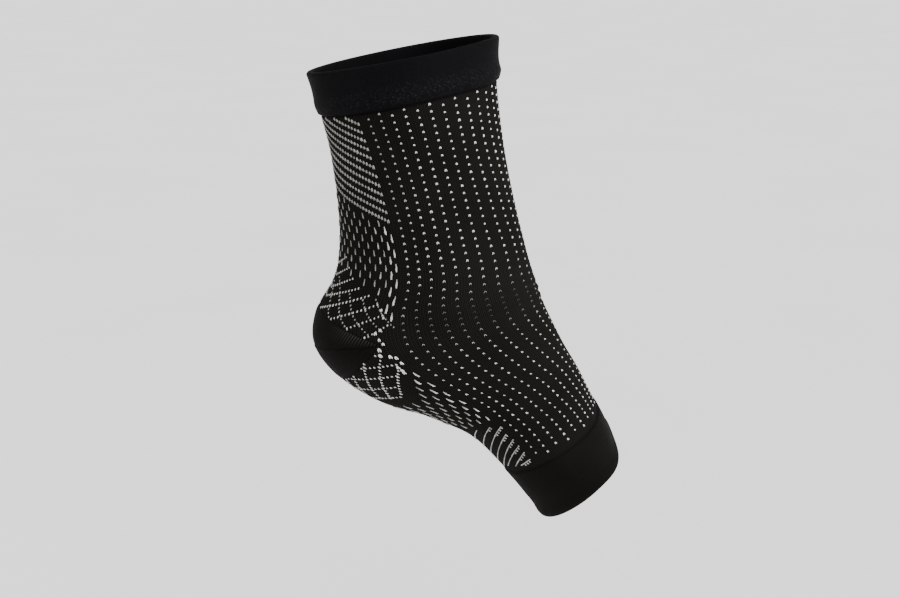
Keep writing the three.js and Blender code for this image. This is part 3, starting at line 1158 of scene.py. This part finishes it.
def off_white_yarn():
    """The pattern's yarn: off-white, and darker where the tone of a stitch is low, which for the
    dots is partly painted shade.
    """
    made = Material("pattern_yarn")
    fibre = made.noise(5200, 3)
    patch = made.math("MULTIPLY", made.noise(240, 2), 0.55)
    level = made.math("ADD", made.math("MULTIPLY", fibre, 0.45), patch)
    bright = made.ramp(level, (0.25, (0.50, 0.48, 0.455)), (0.7, (0.86, 0.84, 0.81)))
    color = made.mix(made.tone(), DIM_YARN_COLOR, bright)
    made.put(color, made.shader.inputs["Base Color"])
    rough = made.spread(fibre, 0.2, 0.8, 0.7, 0.9)
    made.put(rough, made.shader.inputs["Roughness"])
    made.bump(fibre, 0.00012)
    return made.finish(
        Sheen_Weight=0.25,
        Sheen_Roughness=0.5,
        Sheen_Tint=(1.0, 0.92, 0.82, 1),
        Specular_IOR_Level=0.3,
    )


def stage_material():
    made = Material("pale_floor")
    color = made.ramp(made.noise(3, 2), (0.3, (0.90, 0.90, 0.90)), (0.7, (0.93, 0.93, 0.93)))
    made.put(color, made.shader.inputs["Base Color"])
    return made.finish(Roughness=0.9, Specular_IOR_Level=0.1)


# Stage, light and camera


def add_stage():
    sides = ((-1, -1), (1, -1), (1, 1), (-1, 1))
    corners = [(x * FLOOR_HALF, y * FLOOR_HALF, FLOOR_LEVEL) for x, y in sides]
    mesh = bpy.data.meshes.new("floor")
    mesh.from_pydata(corners, [], [(0, 1, 2, 3)])
    mesh.materials.append(stage_material())
    floor = linked("floor", mesh)


def add_lamp(name, kind, away, power):
    """A lamp that shines back along the vector away."""
    light = bpy.data.lights.new(name, kind)
    light.energy = power
    lamp = linked(name, light)
    flat = math.hypot(away[0], away[1])
    lamp.rotation_euler = (math.atan2(flat, away[2]), 0, math.atan2(away[0], -away[1]))
    return lamp


def add_light():
    world = bpy.context.scene.world or bpy.data.worlds.new("studio")
    bpy.context.scene.world = world
    world.use_nodes = True
    background = world.node_tree.nodes["Background"]
    background.inputs["Color"].default_value = (1, 1, 1, 1)
    background.inputs["Strength"].default_value = SKY_STRENGTH
    key = add_lamp("key", "SUN", KEY_TOWARD, KEY_STRENGTH)
    key.data.angle = KEY_SOFTNESS
    glow = add_lamp("cuff_glow", "AREA", np.subtract(GLOW_PLACE, GLOW_TARGET), GLOW_POWER)
    glow.data.shape = "DISK"
    glow.data.size = GLOW_SIZE
    glow.location = GLOW_PLACE


def add_camera():
    """The photo's view: from the inner side, a little from above."""
    data = bpy.data.cameras.new("photo")
    data.sensor_width = SENSOR
    data.lens = LENS
    data.clip_start = 0.01
    camera = linked("photo", data)
    back = CAMERA_DISTANCE * math.cos(CAMERA_DOWN)
    camera.location = (CAMERA_ASIDE, -back, CAMERA_DISTANCE * math.sin(CAMERA_DOWN))
    camera.rotation_euler = (math.pi / 2 - CAMERA_DOWN, 0, 0)
    bpy.context.scene.camera = camera


# The scene

ground, heel, cuff, band = (black_knit(name, **look) for name, look in LOOKS.items())
yarn = off_white_yarn()

columns = MeshColumns()
body = make_ground(columns, ground)
pocket = make_pocket(columns, heel)
cuff_piece = make_cuff(columns, cuff)
band_piece = make_band(columns, band)

patterns = [
    add_stitches("dot_stitches", dots(), yarn),
    add_stitches("achilles_stripes", achilles_stripes(), yarn),
    add_stitches("ankle_dashes", ankle_dashes(), yarn),
    add_stitches("heel_lattice", heel_lattice(), yarn),
    add_stitches("arch_lattice", arch_lattice(), yarn),
    add_stitches("arch_dashes", arch_dashes(), yarn),
    add_stitches("arch_hoops", arch_hoops(), yarn),
]

add_stage()
add_light()
add_camera()
